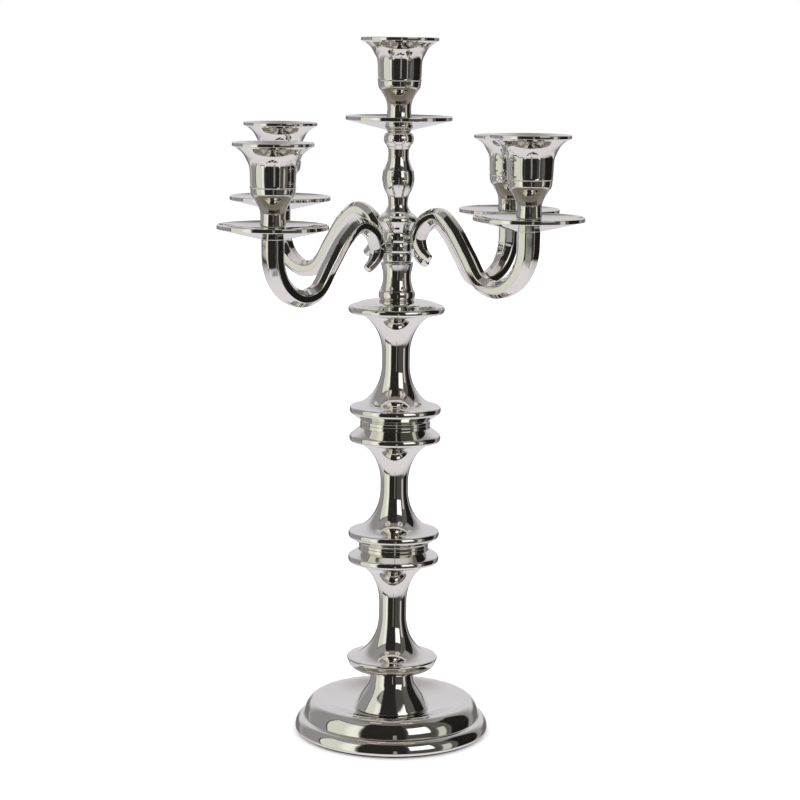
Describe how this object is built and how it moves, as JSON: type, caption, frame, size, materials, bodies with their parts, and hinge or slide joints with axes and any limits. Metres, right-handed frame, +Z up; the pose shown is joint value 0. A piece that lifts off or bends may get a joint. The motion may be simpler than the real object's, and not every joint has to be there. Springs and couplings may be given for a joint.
{
  "type": "candelabra",
  "caption": "Tabletop candelabra in bright nickel plate: round stepped foot, turned pillar with flanged waists, two crossed S-shaped double arms, drip pans and fluted candle cups.",
  "frame": {"origin": "centre of the foot on the table, under the pillar axis", "axes": "+Z up along the pillar; the four arms lie on the diagonals of X and Y, and the front view looks along +Y"},
  "size_m": [0.2118, 0.2118, 0.4312],
  "materials": {
    "foot_nickel": "polished",
    "pillar_nickel": "polished",
    "arm_nickel": "polished",
    "pan_nickel": "polished",
    "cup_nickel": "polished",
    "rod_steel": "satin",
    "felt": "matte"
  },
  "bodies": {
    "pillar": {"foot_felt_ring": "felt", "foot": "foot_nickel", "rod_washer": "rod_steel", "rod_nut": "rod_steel", "tie_rod": "rod_steel", "pedestal_cone": "foot_nickel", "spool_lower": "pillar_nickel", "spool_middle": "pillar_nickel", "spool_upper": "pillar_nickel", "cap_disc": "pillar_nickel", "branch_neck": "pillar_nickel", "baluster": "pillar_nickel", "drip_pan_centre": "pan_nickel"},
    "arms_lower": {"arm_pair_lower": "arm_nickel", "drip_pan_front_left": "pan_nickel", "drip_pan_back_right": "pan_nickel"},
    "arms_upper": {"arm_pair_upper": "arm_nickel", "drip_pan_front_right": "pan_nickel", "drip_pan_back_left": "pan_nickel"},
    "stud_centre": {"cup_stud_centre": "rod_steel"},
    "cup_centre": {"candle_cup_centre": "cup_nickel"},
    "stud_front_left": {"cup_stud_front_left": "rod_steel"},
    "cup_front_left": {"candle_cup_front_left": "cup_nickel"},
    "stud_back_right": {"cup_stud_back_right": "rod_steel"},
    "cup_back_right": {"candle_cup_back_right": "cup_nickel"},
    "stud_front_right": {"cup_stud_front_right": "rod_steel"},
    "cup_front_right": {"candle_cup_front_right": "cup_nickel"},
    "stud_back_left": {"cup_stud_back_left": "rod_steel"},
    "cup_back_left": {"candle_cup_back_left": "cup_nickel"}
  },
  "joints": [
    {"name": "branch_turn", "type": "hinge", "parent": "pillar", "child": "arms_lower", "pos_m": [0, 0, 0.3049], "axis": [0, 0, 1], "continuous": true},
    {"name": "arms_spread", "type": "hinge", "parent": "arms_lower", "child": "arms_upper", "pos_m": [0, 0, 0.3112], "axis": [0, 0, 1], "range_deg": [-44, 44]},
    {"name": "cup_turn_centre", "type": "hinge", "parent": "pillar", "child": "stud_centre", "pos_m": [0, 0, 0.3787], "axis": [0, 0, 1], "range_deg": [0, 2890]},
    {"name": "cup_lift_centre", "type": "slide", "parent": "stud_centre", "child": "cup_centre", "axis": [0, 0, 1], "range_m": [0, 0.008]},
    {"name": "cup_turn_front_left", "type": "hinge", "parent": "arms_lower", "child": "stud_front_left", "pos_m": [-0.07354, -0.07354, 0.3183], "axis": [0, 0, 1], "range_deg": [0, 2890]},
    {"name": "cup_lift_front_left", "type": "slide", "parent": "stud_front_left", "child": "cup_front_left", "axis": [0, 0, 1], "range_m": [0, 0.008]},
    {"name": "cup_turn_back_right", "type": "hinge", "parent": "arms_lower", "child": "stud_back_right", "pos_m": [0.07354, 0.07354, 0.3183], "axis": [0, 0, 1], "range_deg": [0, 2890]},
    {"name": "cup_lift_back_right", "type": "slide", "parent": "stud_back_right", "child": "cup_back_right", "axis": [0, 0, 1], "range_m": [0, 0.008]},
    {"name": "cup_turn_front_right", "type": "hinge", "parent": "arms_upper", "child": "stud_front_right", "pos_m": [0.07354, -0.07354, 0.3246], "axis": [0, 0, 1], "range_deg": [0, 2890]},
    {"name": "cup_lift_front_right", "type": "slide", "parent": "stud_front_right", "child": "cup_front_right", "axis": [0, 0, 1], "range_m": [0, 0.008]},
    {"name": "cup_turn_back_left", "type": "hinge", "parent": "arms_upper", "child": "stud_back_left", "pos_m": [-0.07354, 0.07354, 0.3246], "axis": [0, 0, 1], "range_deg": [0, 2890]},
    {"name": "cup_lift_back_left", "type": "slide", "parent": "stud_back_left", "child": "cup_back_left", "axis": [0, 0, 1], "range_m": [0, 0.008]}
  ],
  "couplings": [
    {"joint": "cup_turn_centre", "follows": "cup_lift_centre", "rad_per_m": 6283.2},
    {"joint": "cup_turn_front_left", "follows": "cup_lift_front_left", "rad_per_m": 6283.2},
    {"joint": "cup_turn_back_right", "follows": "cup_lift_back_right", "rad_per_m": 6283.2},
    {"joint": "cup_turn_front_right", "follows": "cup_lift_front_right", "rad_per_m": 6283.2},
    {"joint": "cup_turn_back_left", "follows": "cup_lift_back_left", "rad_per_m": 6283.2}
  ]
}
